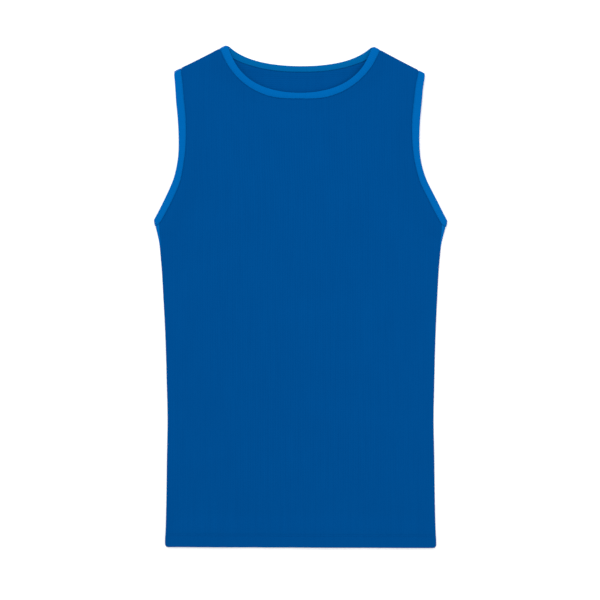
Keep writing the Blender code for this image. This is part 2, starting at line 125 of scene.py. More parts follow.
# The bindings were stretched a little as they were sewn on, so their bands are wider and narrower in places.
ARMHOLE_BAND_SHARES = (  # drop, share of the band's width
    (0.036, 0.96),
    (0.046, 1.03),
    (0.062, 1.09),
    (0.115, 1.10),
    (0.142, 0.98),
    (0.168, 0.88),
    (0.190, 0.97),
    (0.212, 1.01),
    (0.235, 0.98),
    (0.250, 0.93),
)
NECK_BAND_SHARES = {  # share of the neck's curve, share of the band's width
    "front": (
        (0.0, 1.13),
        (0.012, 1.20),
        (0.025, 1.26),
        (0.04, 1.26),
        (0.10, 1.21),
        (0.18, 1.17),
        (0.28, 1.07),
        (0.45, 1.03),
        (0.62, 1.09),
        (0.76, 1.10),
        (0.87, 0.99),
        (1.0, 0.89),
    ),
    "back": (
        (0.0, 1.13),
        (0.021, 1.21),
        (0.042, 1.28),
        (0.07, 1.22),
        (0.10, 1.16),
        (0.20, 1.10),
        (0.34, 0.99),
        (0.60, 0.95),
        (1.0, 0.92),
    ),
}

# How high the middle of the front's cloth is lifted above where it would lie on the back, for each thing
# under it, how far from the edge it stays at that height, and over what length it sinks back.
FRONT_LIFTS = {  # lift, full to, sinks over
    "armhole": (0.0044, 0.0118, 0.032),
    "front neck": (0.0013, 0.0106, 0.020),
    "back neck": (0.0031, 0.0108, 0.038),
    "side": (0.0020, 0.0050, 0.026),
    "shoulder": (0.0020, 0.0050, 0.026),
    "hem": (0.0031, 0.0225, 0.026),
}
LIFT_BLEND = 4  # a higher power keeps two lifts that meet closer to the larger one
BACK_LIFT_MARGIN = 0.0005
BACK_LIFT_SINKS_OVER = 0.010
BOUND_EDGES_LIFT_TO = 0.34  # past this drop, the neck and the armholes are too far away to lift the cloth

# Soft ridges, placed one by one. Those of the whole shirt lift front and back together off the table, mostly
# along the hem and sides, and those of the front lie in the front alone.
WHOLE_RIDGES = (  # x, y, half length, half width, height, turn in degrees
    (-0.118, -0.352, 0.034, 0.060, 0.00105, 0),
    (0.036, -0.358, 0.046, 0.044, 0.00140, 0),
    (0.151, -0.346, 0.026, 0.052, 0.00080, 0),
    (-0.190, -0.120, 0.022, 0.070, 0.00090, 0),
    (0.189, 0.018, 0.020, 0.058, 0.00110, 0),
    (0.190, -0.214, 0.018, 0.046, 0.00070, 0),
    (-0.176, 0.196, 0.018, 0.040, 0.00075, 12),
    (0.132, 0.322, 0.028, 0.018, 0.00065, -27),
    (-0.060, 0.060, 0.110, 0.030, 0.00050, 24),
    (0.074, -0.110, 0.130, 0.026, 0.00045, -14),
)
FRONT_RIDGES = (  # the same columns
    (-0.128, 0.092, 0.070, 0.015, 0.00105, 31),
    (-0.106, 0.050, 0.058, 0.012, 0.00070, 19),
    (0.132, 0.082, 0.062, 0.014, 0.00095, -36),
    (0.098, 0.128, 0.050, 0.011, 0.00060, -22),
    (-0.024, -0.034, 0.094, 0.021, 0.00075, 7),
    (0.058, -0.176, 0.076, 0.017, 0.00080, -11),
    (-0.092, -0.224, 0.064, 0.016, 0.00070, 15),
    (0.018, 0.192, 0.060, 0.016, 0.00060, -6),
    (0.118, -0.300, 0.020, 0.056, 0.00110, 4),
    (-0.038, -0.312, 0.017, 0.060, 0.00130, -5),
)
RIDGE_BEND = 0.25  # how far a ridge's ends bend to one side, in half widths
RIDGE_LEAN = 0.1
RIDGES_START = 0.012  # how far from a fold or a bound edge the front's ridges begin
RIDGES_FULL_OVER = 0.030
ASKEW = (  # the shirt lies a little askew: drop, how far it has slid towards +X, its turn in radians
    (0.00, 0.0000, 0.0090),
    (0.03, -0.0003, 0.0085),
    (0.06, -0.0012, 0.0080),
    (0.12, -0.0014, 0.0075),
    (0.17, -0.0006, 0.0060),
    (0.21, 0.0009, 0.0040),
    (0.30, 0.0004, 0.0037),
    (0.45, 0.0008, 0.0037),
    (0.72, 0.0010, 0.0037),
)

# The grid of points on the pattern, in shares that the solids use more coarsely.
RADIUS_ROUNDS = 4  # rounds in which a roll's radius and the place where it begins settle on each other
ROUND_FOLD_POINTS = 16
CURVE_POINTS = 60
ROLL_STEPS = 9
ROLL_WIDTH = 0.0033
SHOULDER_COLUMNS = (0.0, 0.07, 0.115, 0.16, 0.50, 0.843, 0.893, 1.0)  # share of the shoulder's length
SHOULDER_FINER = 3
SIDE_COLUMNS = (0.0, 0.038, 0.10, 0.22, 0.42)  # share of the half width, inside the roll
SIDE_FINER = 3
NECK_COLUMNS = (0.0, 0.03, 0.08, 0.16, 0.28, 0.44, 0.62, 0.81, 1.0)  # share of the neck's curve
NECK_FINER = 5
BODY_ROW_STEP = 0.0055
NO_BODY_ROW_OVER = 0.003  # below the gusset's tip, so that the row that closes the seam there isn't crowded
LEVEL_WITH_SHOULDER = 0.014  # the rows run level with the shoulder and the neck from this far below its tip
HEM_CORNER_ROWS = (0.0, 0.0008, 0.0018, 0.0034, 0.006, 0.009, 0.012)  # above the hem's fold
HEM_NEEDLE_ROWS = 13
HEM_NEEDLE_REACH = 0.0032  # how far those rows go to each side of the middle of the twin needle's two
GUSSET_ROWS = 18
GUSSET_TOP_POINTS = 200
# Shares of the way up the armhole.
ARMHOLE_ROWS = (0.0, 0.07, 0.15, 0.24, 0.34, 0.45, 0.56, 0.67, 0.76, 0.84, 0.90, 0.94, 0.97, 1.0)
ARMHOLE_FINER = 4
GUSSET_COLUMNS = (0.0, 0.09, 0.18, 0.28, 0.44, 0.68, 1.0)  # share of the way from the fold to the seam
GUSSET_FINER = 3
HEM_TURN_STEPS = 8
EDGE_STEPS = 4  # steps round a piece's rounded edge
BINDING_BEND_POINTS = 5  # points round each bend of the binding
NECK_WAY_TURNS_OVER = 0.008  # past the roll, the binding's way inwards turns from the shoulder's over this
ARMHOLE_WAY_TURNS_OVER = 0.005
SIDE_WAY_STEP = 0.008  # how far down the side is measured to find its direction

# Stitching. The hem has two rows of a twin needle, and each binding has one row near its free edge.
HEM_STITCH_ROWS = (0.0158, 0.0186)  # above the bottom edge
HEM_GROOVE_DEPTH = 0.00032
HEM_GROOVE_HALF_WIDTH = 0.0009
BAND_STITCH_INSET = 0.0017  # from the binding's free edge
BAND_GROOVE_DEPTH = 0.00030
BAND_GROOVE_HALF_WIDTH = 0.0008
BAND_CROWN = 0.00018  # how far a band bulges between its free edge and its fold
STITCH_PITCH = 0.0030
STITCH_LENGTH = 0.0025
THREAD_RADIUS = 0.00026
THREAD_STANDS = 0.2 * THREAD_RADIUS  # how far a stitch's middle stands above the cloth
HEM_LINE_POINTS = 400

# The materials' colours, as sRGB values: the dark and the light of the dyed yarn, and its sheen. Between
# the dark and the light lie the yarn's uneven tone and painted shade, in the knit's hollows and between
# the thread's plies. The sheen has the dye's colour too, because much of the light that a fibre throws back
# has gone through it.
BODY_BLUES = ("003e7a", "004a8a", "0a78d8")  # dark, light, sheen
BINDING_BLUES = ("005298", "0062aa", "149aec")
# A darker copy of the binding's blues for its inner limb: painted shade, where the back's band lies in the
# shade inside the neck.
BINDING_INSIDE_PAINTED_SHADE_BLUES = ("00508b", "00609d", "149aec")
BODY_THREAD_BLUES = ("00407c", "004e92", "0a78d8")
BINDING_THREAD_BLUES = ("00549b", "0066b2", "149aec")
BOARD_WHITES = ("f0f0f0", "f6f6f6")  # dark, light

# The jersey. A stitch's size is its wale's width and its course's height, drawn coarser than they are. The
# relief's numbers are shares of a stitch, and the shades' are shares of the way from dark to light.
BODY_STITCH = (0.0036, 0.0030)
BINDING_STITCH = (0.0030, 0.0026)
FACE_LEG_LEAN = 1.5
FACE_YARN_RELIEF = 0.22
FACE_COLUMN_RELIEF = 0.28
REVERSE_LOOP_BEND = 0.16
REVERSE_YARN_RELIEF = 0.42
# The knit's low places are painted darker: painted shade in the hollows between the yarns.
KNIT_PAINTED_SHADE = 0.34
DARKEST_SHADE = 0.08
STREAK_WIDTH = 0.0045
STREAK_LENGTH = 0.090
STREAK_SHADE = 0.30
CLOUD_SIZE = 0.070
CLOUD_SHADE = 0.24
NAP_SIZE = 0.0016
NAP_SHADE = 0.12
NAP_RELIEF = 0.35
THREAD_TWIST = 0.0009  # length in which the thread's plies turn once

# The table, the light and the camera. The picture's frame was measured from the photograph: 600 pixels of
# 1.436 mm, with the shirt in the middle. The table glows faintly, like the top of a light table, so that it
# stays white right up to the shirt and takes next to no shadow, as in the photograph.
TABLE_SIZE = 12.0
TABLE_HEIGHT = -0.0002
TABLE_GLOW = 0.20
ROOM_LIGHT = 0.80
SOFTBOXES = (  # name, place, target, size, watts
    ("softbox_above_head", (-0.55, 1.30, 2.10), (0.0, 0.05, 0.0), 1.6, 30.0),
    ("softbox_at_side", (1.50, -0.30, 1.70), (0.0, 0.0, 0.0), 1.2, 8.0),
)
CAMERA_LENS = 100.0
CAMERA_SENSOR = 36.0
PICTURE_WIDTH = 0.8616
PICTURE_CENTRE = (0.0001, -0.0045)
PICTURE_HEIGHT_ABOVE_TABLE = 0.004

TOP = BODY_LENGTH / 2
BINDING_OUT = 1.5 * CLOTH + PLY_GAP  # from the middle of the panel's cloth to the outside of the binding
BINDING_IN = 0.5 * CLOTH + PLY_GAP
SHOULDER_OUT = np.array((math.sin(SHOULDER_SLOPE), math.cos(SHOULDER_SLOPE)))
SHOULDER_ALONG = np.array((math.cos(SHOULDER_SLOPE), -math.sin(SHOULDER_SLOPE)))
SHOULDER_START = np.array((SHOULDER_START_HALF, TOP - BINDING_OUT + CLOTH / 2))
MIRROR = np.array((-1.0, 1.0))
PATTERN_MAP = "pattern"  # the UV map that holds each point's place on the flat cloth, in metres


# ---- Curves ------------------------------------------------------------------------------------


def through_rows(rows, drop):
    """The value at these drops, on a smooth curve through the rows, which runs on straight past its ends."""
    drops, values = np.array(rows).T
    slopes = np.gradient(values, drops)
    inside = np.clip(drop, drops[0], drops[-1])
    i = np.clip(np.searchsorted(drops, inside) - 1, 0, len(drops) - 2)
    step = drops[i + 1] - drops[i]
    t = (inside - drops[i]) / step
    value = (
        (2 * t**3 - 3 * t**2 + 1) * values[i]
        + (t**3 - 2 * t**2 + t) * step * slopes[i]
        + (3 * t**2 - 2 * t**3) * values[i + 1]
        + (t**3 - t**2) * step * slopes[i + 1]
    )
    end_slope = np.where(drop < drops[0], slopes[0], slopes[-1])
    return value + end_slope * (drop - inside)


def bezier(start, start_handle, end_handle, end):
    t = np.linspace(0, 1, CURVE_POINTS)[:, None]
    return (
        (1 - t) ** 3 * start
        + 3 * (1 - t) ** 2 * t * start_handle
        + 3 * (1 - t) * t**2 * end_handle
        + t**3 * end
    )


def lengths_along(line):
    return np.concatenate([[0], np.cumsum(np.linalg.norm(np.diff(line, axis=0), axis=1))])


def point_at(line, length):
    along = lengths_along(line)
    return np.stack([np.interp(length, along, line[:, k]) for k in range(line.shape[1])], axis=-1)


def finer(shares, times):
    """The shares with each step between two of them cut into so many."""
    places = np.arange(len(shares))
    return np.interp(np.linspace(0, places[-1], places[-1] * times + 1), places, shares)


def unit(vectors):
    return vectors / np.linalg.norm(vectors, axis=-1, keepdims=True)


def distance_to(line, points):
    """From each point to the nearest place on a line of points."""
    start, step = line[:-1], np.diff(line, axis=0)
    away = points[:, None] - start[None]
    t = np.clip((away * step).sum(2) / (step * step).sum(1), 0, 1)
    return np.linalg.norm(away - t[..., None] * step, axis=2).min(1)


def fade(distance, full_to, sinks_over):
    """1 up to full_to, then a soft fall to 0."""
    t = np.clip((distance - full_to) / sinks_over, 0, 1)
    return 1 - t * t * (3 - 2 * t)


# ---- The outline, for the side at +X -----------------------------------------------------------


def side_half(y):
    """Half the shirt's width at this y, outside its cloth. It rounds the hem's corner."""
    into_corner = np.clip(TOP - BODY_LENGTH + HEM_CORNER_RADIUS - y, 0, HEM_CORNER_RADIUS)
    rounding = HEM_CORNER_RADIUS - np.sqrt(HEM_CORNER_RADIUS**2 - into_corner**2)
    return through_rows(SIDE_OUTLINE, TOP - y) - rounding


def beyond_tangent(radius):
    """How far the flat pattern runs past the line where the roll begins, up to the middle of the fold."""
    return math.pi / 2 * radius + PLY_GAP / 2


def beyond_silhouette(radius):
    """How far the middle of the fold lies past the silhouette, on the flat pattern."""
    return beyond_tangent(radius) - radius - CLOTH / 2


def shoulder_point(half, radius):
    """Two points of the flat pattern: the middle of the shoulder's fold, and where its roll begins."""
    along = (half - SHOULDER_START[0]) / SHOULDER_ALONG[0]
    tangent = SHOULDER_START + along * SHOULDER_ALONG - (radius + CLOTH / 2) * SHOULDER_OUT
    return tangent + beyond_tangent(radius) * SHOULDER_OUT, tangent


def over_shoulder(points):
    """How far each point lies past the shoulder's silhouette, outside its cloth."""
    away = points - SHOULDER_START
    along = away @ SHOULDER_ALONG
    length = (SHOULDER_TIP_HALF - SHOULDER_START[0]) / SHOULDER_ALONG[0]
    at_band = np.maximum(
        fade(along, NECK_BAND_WIDTH - PLY, SHOULDER_RISES_OVER),
        fade(length - along, ARMHOLE_BAND_WIDTH - PLY, SHOULDER_RISES_OVER),
    )
    return away @ SHOULDER_OUT - SHOULDER_RISE * (1 - at_band)


def neck_line(which):
    """The panel's cut edge from the middle of the shoulder's fold to the middle of the neck."""
    drop = {"front": FRONT_NECK_DROP, "back": BACK_NECK_DROP}[which] + PLY
    shoulder_handle, middle_handle, slide, turn = NECK_CURVE[which]
    fold, tangent = shoulder_point(NECK_HALF, STACK_RADIUS)
    start = tangent - slide * SHOULDER_ALONG
    way = -math.cos(turn) * SHOULDER_OUT - math.sin(turn) * SHOULDER_ALONG
    middle = np.array((0.0, TOP - drop))
    curve = bezier(
        start,
        start + shoulder_handle * way,
        middle + np.array((middle_handle, 0.0)),
        middle,
    )
    return np.concatenate([[fold + NECK_CORNER_CUT * SHOULDER_ALONG], curve])


def round_the_fold(line, past, out):
    """Carries a line that looks right from above round a fold, up to the fold's middle.

    past is how far each of its points lies past the place where the roll begins.
    """
    angle = np.linspace(0, math.pi / 2, ROUND_FOLD_POINTS)
    across = STACK_RADIUS * np.sin(angle)
    rolled = np.stack([np.interp(across, past, line[:, k]) for k in (0, 1)], axis=1)
    rolled += (STACK_RADIUS * angle - across)[:, None] * out
    return np.concatenate([line[past < 0], rolled, rolled[-1:] + PLY_GAP / 2 * out])


def armhole_line():
    """The panels' cut edge from the middle of the shoulder's fold to the middle of the side's fold."""
    above, below = ARMHOLE_RUNS_ON
    drops = np.linspace(ARMHOLE_OUTLINE[0][0] - above, ARMHOLE_OUTLINE[-1][0] + below, ARMHOLE_POINTS)
    outline = np.stack([through_rows(ARMHOLE_OUTLINE, drops), TOP - drops], axis=1)
    direction = unit(np.gradient(outline, axis=0))
    edge = outline + PLY * np.stack([direction[:, 1], -direction[:, 0]], axis=1)
    halfway = len(edge) // 2
    up, down = edge[halfway - 1 :: -1], edge[halfway:]
    roll_begins = CLOTH / 2 + STACK_RADIUS
    top = round_the_fold(up, over_shoulder(up) + roll_begins, SHOULDER_OUT)
    over_side = down[:, 0] - side_half(down[:, 1])
    bottom = round_the_fold(down, over_side + roll_begins, np.array((1.0, 0.0)))
    return np.concatenate([top[::-1], bottom])


STACK_RADIUS = (FRONT_LIFTS["armhole"][0] - PLY_GAP) / 2
NECK_LINES = {"front": neck_line("front"), "back": neck_line("back")}
ARMHOLE_LINE = armhole_line()
HEM_FOLD_Y = TOP - BODY_LENGTH + CLOTH / 2 + PLY / 2  # the middle of the turn at the hem's bottom edge


# ---- How the cloth lies ------------------------------------------------------------------------


def distance_to_edge(line, points):
    """distance_to() for a bound edge, worked out only where that edge is near enough to matter."""
    distance = np.full(len(points), 1.0)
    high = points[:, 1] > TOP - BOUND_EDGES_LIFT_TO
    if high.any():
        distance[high] = distance_to(line, points[high])
    return distance


def back_height(points):
    """Height of the middle of the back's cloth, which the bindings lift along its bound edges."""
    neck = distance_to_edge(NECK_LINES["back"], points)
    armhole = distance_to_edge(ARMHOLE_LINE, points)
    near = np.maximum(
        fade(neck, NECK_BAND_WIDTH + BACK_LIFT_MARGIN, BACK_LIFT_SINKS_OVER),
        fade(armhole, ARMHOLE_BAND_WIDTH + BACK_LIFT_MARGIN, BACK_LIFT_SINKS_OVER),
    )
    return CLOTH / 2 + PLY * near


def front_distances(points):
    """From each point to every thing that lifts the front."""
    x, y = points.T
    return {
        "armhole": distance_to_edge(ARMHOLE_LINE, points),
        "front neck": distance_to_edge(NECK_LINES["front"], points),
        "back neck": distance_to_edge(NECK_LINES["back"], points),
        "side": np.abs(side_half(y) - x) + np.maximum(0, y - (TOP - UNDERARM_DROP)),
        "shoulder": np.abs(over_shoulder(points)),
        "hem": y - (TOP - BODY_LENGTH),
    }


def lifted(distances):
    """Height of the middle of the front's cloth, which lies on the back and is lifted along its edges."""
    lifts = {
        name: lift * fade(distances[name], full_to, sinks_over)
        for name, (lift, full_to, sinks_over) in FRONT_LIFTS.items()
    }
    lifts["neck"] = lifts.pop("front neck") + lifts.pop("back neck")
    total = sum(lift**LIFT_BLEND for lift in lifts.values()) ** (1 / LIFT_BLEND)
    return CLOTH / 2 + PLY + total


def front_height(points):
    return lifted(front_distances(points))


def ridges_at(ridges, x, y):
    """Height of the soft ridges at each place."""
    height = np.zeros_like(x)
    for centre_x, centre_y, half_length, half_width, rise, turn in ridges:
        cos, sin = math.cos(math.radians(turn)), math.sin(math.radians(turn))
        along = ((x - centre_x) * cos + (y - centre_y) * sin) / half_length
        across = ((y - centre_y) * cos - (x - centre_x) * sin) / half_width
        across += RIDGE_BEND * along**2 - RIDGE_LEAN * along
        height += rise * np.exp(-(along**2) - across**2)
    return height


def front_ridges(points, distances):
    """The front's own ridges, which end before its folds and its bound edges."""
    names = ("armhole", "front neck", "side", "shoulder")
    nearest = np.min([distances[name] for name in names], axis=0)
    return ridges_at(FRONT_RIDGES, *points.T) * (1 - fade(nearest, RIDGES_START, RIDGES_FULL_OVER))


def askew(points):
    """Slides and turns each level of the shirt a little, as it was laid down."""
    drops, slides, turns = np.array(ASKEW).T
    drop = TOP - points[:, 1]
    slide = through_rows(np.column_stack([drops, slides]), drop)
    turn = through_rows(np.column_stack([drops, turns]), drop)
    return points + np.column_stack([slide, -turn * points[:, 0]])


def hem_groove(y):
    """How deep the twin needle's two rows pull the cloth in."""
    depth = np.zeros_like(y)
    for row in HEM_STITCH_ROWS:
        across = (y - (TOP - BODY_LENGTH + row)) / HEM_GROOVE_HALF_WIDTH
        depth = np.maximum(depth, HEM_GROOVE_DEPTH * np.exp(-(across**2)))
    return depth


def seam_radius(tangent_points):
    return (front_height(tangent_points) - back_height(tangent_points) - PLY_GAP) / 2


def settled_roll(count, tangent_of):
    """The radius of each point's roll and the place where it begins, which depend on each other."""
    radius = np.full(count, STACK_RADIUS)
    for _ in range(RADIUS_ROUNDS):
        tangent = tangent_of(radius)
        radius = seam_radius(tangent)
    return radius, tangent


def roll(points, over, out, which):
    """Rolls what lies past a fold's tangent line down, or up, to half height.

    over is how far each point lies past the silhouette on the flat pattern, and out is the way there.
    """
    radius, tangent = settled_roll(
        len(points), lambda radius: points - np.maximum(0, over + CLOTH / 2 + radius)[:, None] * out
    )
    past = np.maximum(0, over + CLOTH / 2 + radius)
    angle = np.minimum(past / radius, math.pi / 2)
    straight = np.maximum(0, past - math.pi / 2 * radius)
    height, towards = (front_height(tangent), -1) if which == "front" else (back_height(tangent), 1)
    flat = tangent + (radius * np.sin(angle))[:, None] * out
    return np.column_stack([flat, height + towards * (radius * (1 - np.cos(angle)) + straight)])


def fold_cloth(which, pattern):
    """Places points of the flat pattern on the middle of the cloth of the front or the back."""
    pattern = np.asarray(pattern, float)
    signed = pattern.reshape(-1, 2)
    points = np.column_stack([np.abs(signed[:, 0]), signed[:, 1]])
    if which == "front":
        distances = front_distances(points)
        height = lifted(distances) + front_ridges(signed, distances)
        height -= hem_groove(signed[:, 1])
    else:
        height = back_height(points) + hem_groove(signed[:, 1])
    placed = np.column_stack([points, height])
    over_side = points[:, 0] - side_half(points[:, 1])
    for over, out in ((over_side, np.array((1.0, 0.0))), (over_shoulder(points), SHOULDER_OUT)):
        near = over > -3 * STACK_RADIUS
        if near.any():
            placed[near] = roll(points[near], over[near], out, which)
    placed[:, 0] *= np.where(signed[:, 0] < 0, -1.0, 1.0)
    return placed.reshape(*pattern.shape[:-1], 3)


def outward(which, pattern):
    """The way out of the shirt at each point: up on the front, down on the back."""
    pattern = np.asarray(pattern, float)
    step = 2e-5
    steps = (np.array((step, 0.0)), np.array((0.0, step)))
    across, along = (
        fold_cloth(which, pattern + move) - fold_cloth(which, pattern - move) for move in steps
    )
    normal = unit(np.cross(across, along))
    return normal if which == "front" else -normal


def side_fold_x(y):
    """x of the fold's middle on the flat pattern, at each y down the side."""
    y = np.atleast_1d(y)
    half = side_half(y)
    radius, _ = settled_roll(len(y), lambda radius: np.column_stack([half - CLOTH / 2 - radius, y]))
    return half + beyond_silhouette(radius)


def shoulder_fold(start, end, shares):
    """Points along the shoulder's seam on the flat pattern, short of the fold's middle by the seam's edge."""
    line = start + np.asarray(shares)[:, None] * (end - start)
    base = line - over_shoulder(line)[:, None] * SHOULDER_OUT
    radius, _ = settled_roll(len(base), lambda radius: base - (CLOTH / 2 + radius)[:, None] * SHOULDER_OUT)
    return base + (beyond_silhouette(radius) - SEAM_EDGE)[:, None] * SHOULDER_OUT


# ---- Grids of the pattern ----------------------------------------------------------------------


def gusset_seam(y):
    """How far the gusset's seam lies from the fold's middle at each y: nothing below its tip."""
    above_tip = y - (TOP - GUSSET_TIP_DROP)
    return np.where(above_tip < -1e-6, 0.0, GUSSET_TIP_WIDTH + GUSSET_SEAM_SLOPE * above_tip)


def armhole_meets_gusset(extra):
    """Length along the armhole line where it crosses the gusset's seam, moved in by extra."""
    along = lengths_along(ARMHOLE_LINE)
    lower = ARMHOLE_LINE[:, 1] < TOP - GUSSET_CROSSES_BELOW
    x, y = ARMHOLE_LINE[lower].T
    inside = side_fold_x(y) - x - gusset_seam(y) - extra
    return np.interp(0, -inside, along[lower])


def neck_stations(which):
    """Points of the neck's edge from the shoulder's seam to the middle: the roll first, then the curve."""
    line = NECK_LINES[which]
    _, rolled, *_, total = lengths_along(line)
    roll_part = np.linspace(SEAM_EDGE, rolled, ROLL_STEPS + 1)
    curve_part = rolled + finer(NECK_COLUMNS, NECK_FINER)[1:] * (total - rolled)
    return point_at(line, np.concatenate([roll_part, curve_part]))


def armhole_stations():
    """Points of the panel's armhole edge, from the gusset's seam up to the shoulder's seam."""
    rolled = beyond_tangent(STACK_RADIUS)
    bottom = armhole_meets_gusset(SEAM_EDGE)
    curve_part = bottom + finer(ARMHOLE_ROWS, ARMHOLE_FINER) * (rolled - bottom)
    roll_part = np.linspace(rolled, SEAM_EDGE, ROLL_STEPS + 1)[1:]
    return point_at(ARMHOLE_LINE, np.concatenate([curve_part, roll_part]))


def hem_rows():
    """y of the rows of the hem: close together where the twin needle's rows pull the cloth in."""
    bottom = TOP - BODY_LENGTH
    first = (HEM_FOLD_Y - bottom) + np.array(HEM_CORNER_ROWS)
    middle = sum(HEM_STITCH_ROWS) / 2
    needles = np.linspace(middle - HEM_NEEDLE_REACH, middle + HEM_NEEDLE_REACH, HEM_NEEDLE_ROWS)
    return bottom + np.concatenate([first, needles])


def edge_rows():
    """The panel's outer edge on the flat pattern, from the hem's turn up to the shoulder's seam."""
    hem = hem_rows()
    tip_y = TOP - GUSSET_TIP_DROP
    count = round((tip_y - hem[-1]) / BODY_ROW_STEP)
    body = np.linspace(hem[-1], tip_y, count, endpoint=False)[1:]
    body = np.append(body[body < tip_y - NO_BODY_ROW_OVER], tip_y - GUSSET_TIP_WIDTH - SEAM_EDGE)
    top = armhole_stations()
    beside_gusset = np.linspace(tip_y, top[0, 1], GUSSET_ROWS + 1)[:-1]
    side_y = np.concatenate([hem, body, beside_gusset])
    inside = gusset_seam(side_y) + SEAM_EDGE
    side = np.column_stack([side_fold_x(side_y) - inside, side_y])
    return np.concatenate([side, top]), len(side)


def panel_pattern(which):
    """The panel's grid on the flat pattern: rows from the hem up, columns from the left side to the right."""
    edge, first_armhole_row = edge_rows()
    neck = neck_stations(which)
    shoulder = shoulder_fold(edge[-1], neck[0], finer(SHOULDER_COLUMNS, SHOULDER_FINER))
    shoulder[0] = edge[-1]
    shoulder[-1] = neck[0]
    top = np.concatenate([shoulder, neck[1:]])

    rolled = np.linspace(0, ROLL_WIDTH, ROLL_STEPS + 1)
    side_columns = finer(SIDE_COLUMNS, SIDE_FINER)[1:]
    under_neck = np.linspace(SIDE_COLUMNS[-1], 1, len(neck))[1:]
    shares = np.concatenate([side_columns, under_neck])

    keep_at_neck = np.clip((top[:, 0] - neck[0, 0]) / (top[0, 0] - neck[0, 0]), 0, 1)
    start_y, full_y = edge[first_armhole_row, 1], edge[-1, 1] - LEVEL_WITH_SHOULDER
    grid = []
    for x, y in edge:
        blend = 1 - fade(y, start_y, full_y - start_y)
        inner = np.concatenate([rolled, ROLL_WIDTH + (x - ROLL_WIDTH) * shares])
        top_x = top[:, 0] + (x - top[0, 0]) * keep_at_neck
        row_x = (1 - blend) * (x - inner) + blend * top_x
        row_y = y + blend * (top[:, 1] - top[0, 1])
        grid.append(np.column_stack([row_x, row_y]))
    half = np.array(grid)
    return np.concatenate([half, half[:, -2::-1] * MIRROR], axis=1)


def gusset_pattern():
    """The gusset's half on the flat pattern of one side: rows from its tip up, columns from the fold."""
    columns = finer(GUSSET_COLUMNS, GUSSET_FINER)
    along = lengths_along(ARMHOLE_LINE)
    last = armhole_meets_gusset(-SEAM_EDGE)
    line_lengths = np.linspace(last, along[-1], GUSSET_TOP_POINTS)
    line = point_at(ARMHOLE_LINE, line_lengths)
    share = (side_fold_x(line[:, 1]) - line[:, 0]) / (gusset_seam(line[:, 1]) - SEAM_EDGE)
    top = point_at(ARMHOLE_LINE, np.interp(columns, share[::-1], line_lengths[::-1]))
    tip_y = TOP - GUSSET_TIP_DROP
    grid = []
    for step in range(GUSSET_ROWS + 1):
        y = tip_y + (top[:, 1] - tip_y) * step / GUSSET_ROWS
        width = gusset_seam(y) - SEAM_EDGE
        grid.append(np.column_stack([side_fold_x(y) - columns * width, y]))
    grid[-1] = top
    return np.array(grid)


# ---- Meshes ------------------------------------------------------------------------------------


def add_object(name, data):
    """Puts a mesh, a lamp or a camera in the scene."""
    added = bpy.data.objects.new(name, data)
    bpy.context.scene.collection.objects.link(added)
    return added


def cells(grid):
    """The four corners of each cell of a grid."""
    return np.stack([grid[:-1, :-1], grid[:-1, 1:], grid[1:, 1:], grid[1:, :-1]], axis=2)


def make_piece(name, points, quads, places, materials, replaced=None, inner_faces=()):
    """A piece of the shirt, riding on it. places is each quad corner's place on the flat cloth."""
    points = np.array(points, float)
    points[:, 2] += ridges_at(WHOLE_RIDGES, points[:, 0], points[:, 1])
    points[:, 2] = np.maximum(points[:, 2], 0)  # flat where it rests
    points[:, :2] = askew(points[:, :2])
    quads, places = np.asarray(quads), np.asarray(places, np.float32)
    corners = points[quads]
    volume = np.linalg.det(corners[:, [0, 1, 2]]).sum() + np.linalg.det(corners[:, [0, 2, 3]]).sum()
    if volume < 0:
        quads, places = quads[:, ::-1], places[:, ::-1]
    mesh = bpy.data.meshes.new(name)
    mesh.from_pydata(points.tolist(), [], quads.tolist())
    for material in materials:
        mesh.materials.append(material)
    if len(inner_faces):
        numbers = np.zeros(len(quads), np.int32)
        numbers[inner_faces] = 1
        mesh.polygons.foreach_set("material_index", numbers)
    mesh.uv_layers.new(name=PATTERN_MAP).data.foreach_set("uv", places.ravel())
    mesh.shade_smooth()
    piece = add_object(name, mesh)
    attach(piece, "root")
    if replaced:
        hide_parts(replaced)
    return piece


def cloth_shell(name, middle, out, pattern, materials, replaced):
    """A thin shell of cloth round a grid of middle points, with a rounded edge."""
    rows, columns = middle.shape[:2]
    count = rows * columns
    index = np.arange(count).reshape(rows, columns)
    outside = (middle + CLOTH / 2 * out).reshape(-1, 3)
    inside = (middle - CLOTH / 2 * out).reshape(-1, 3)
    outer = cells(index).reshape(-1, 4)

    rim = np.concatenate([index[0, :-1], index[:-1, -1], index[-1, :0:-1], index[:0:-1, 0]])
    beside_rim = np.concatenate([index[1, :-1], index[:-1, -2], index[-2, :0:-1], index[:0:-1, 1]])
    edge, edge_out = middle.reshape(-1, 3)[rim], out.reshape(-1, 3)[rim]
    way = np.roll(edge, -1, axis=0) - np.roll(edge, 1, axis=0)
    off_edge = unit(np.cross(way, edge_out))
    off_edge *= np.sign((off_edge * (edge - middle.reshape(-1, 3)[beside_rim])).sum())
    rings = [rim]
    added = []
    for step in range(1, EDGE_STEPS):
        angle = math.pi * step / EDGE_STEPS
        added.append(edge + CLOTH / 2 * (math.cos(angle) * edge_out + math.sin(angle) * off_edge))
        rings.append(2 * count + (step - 1) * len(rim) + np.arange(len(rim)))
    rings.append(count + rim)
    points = np.concatenate([outside, inside, *added])
    around = [
        np.stack([first, second, np.roll(second, -1), np.roll(first, -1)], axis=-1)
        for first, second in zip(rings, rings[1:])
    ]
    quads = np.concatenate([outer, outer[:, ::-1] + count, *around])
    flat = pattern.reshape(-1, 2)
    flat_of_point = np.concatenate([flat, flat] + [flat[rim]] * (EDGE_STEPS - 1))
    inner_faces = np.arange(len(outer), 2 * len(outer))
    return make_piece(
        name, points, quads, flat_of_point[quads], materials, replaced, inner_faces
    )


